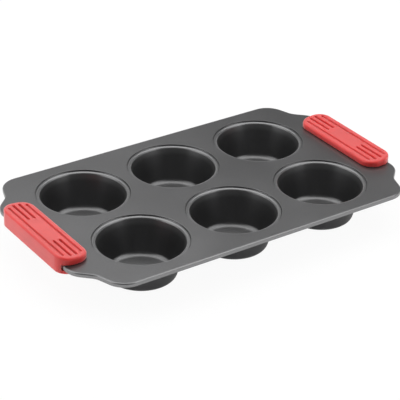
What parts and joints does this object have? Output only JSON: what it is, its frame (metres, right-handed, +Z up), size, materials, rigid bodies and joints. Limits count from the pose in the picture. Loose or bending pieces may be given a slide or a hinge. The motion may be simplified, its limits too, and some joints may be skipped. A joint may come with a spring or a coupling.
{
  "type": "muffin pan",
  "caption": "Rectangular non-stick steel muffin pan with tapered round cups, a hemmed rim and a removable grooved silicone grip on each end tab.",
  "frame": {"origin": "on the table under the middle of the pan", "axes": "+X along the pan towards one grip, +Y across it, +Z up"},
  "size_m": [0.3188, 0.187, 0.0378],
  "materials": {
    "coated_steel": "satin dark grey non-stick coating",
    "silicone": "matte red silicone"
  },
  "bodies": {
    "pan": {"top_plate": "coated_steel", "cup_front_left": "coated_steel", "cup_front_middle": "coated_steel", "cup_front_right": "coated_steel", "cup_back_left": "coated_steel", "cup_back_middle": "coated_steel", "cup_back_right": "coated_steel"},
    "left_grip": {"grip_left": "silicone"},
    "right_grip": {"grip_right": "silicone"}
  },
  "joints": [
    {"name": "left_grip_pull", "type": "slide", "parent": "pan", "child": "left_grip", "axis": [-1, 0, 0], "range_m": [0, 0.03]},
    {"name": "right_grip_pull", "type": "slide", "parent": "pan", "child": "right_grip", "axis": [1, 0, 0], "range_m": [0, 0.03]}
  ]
}
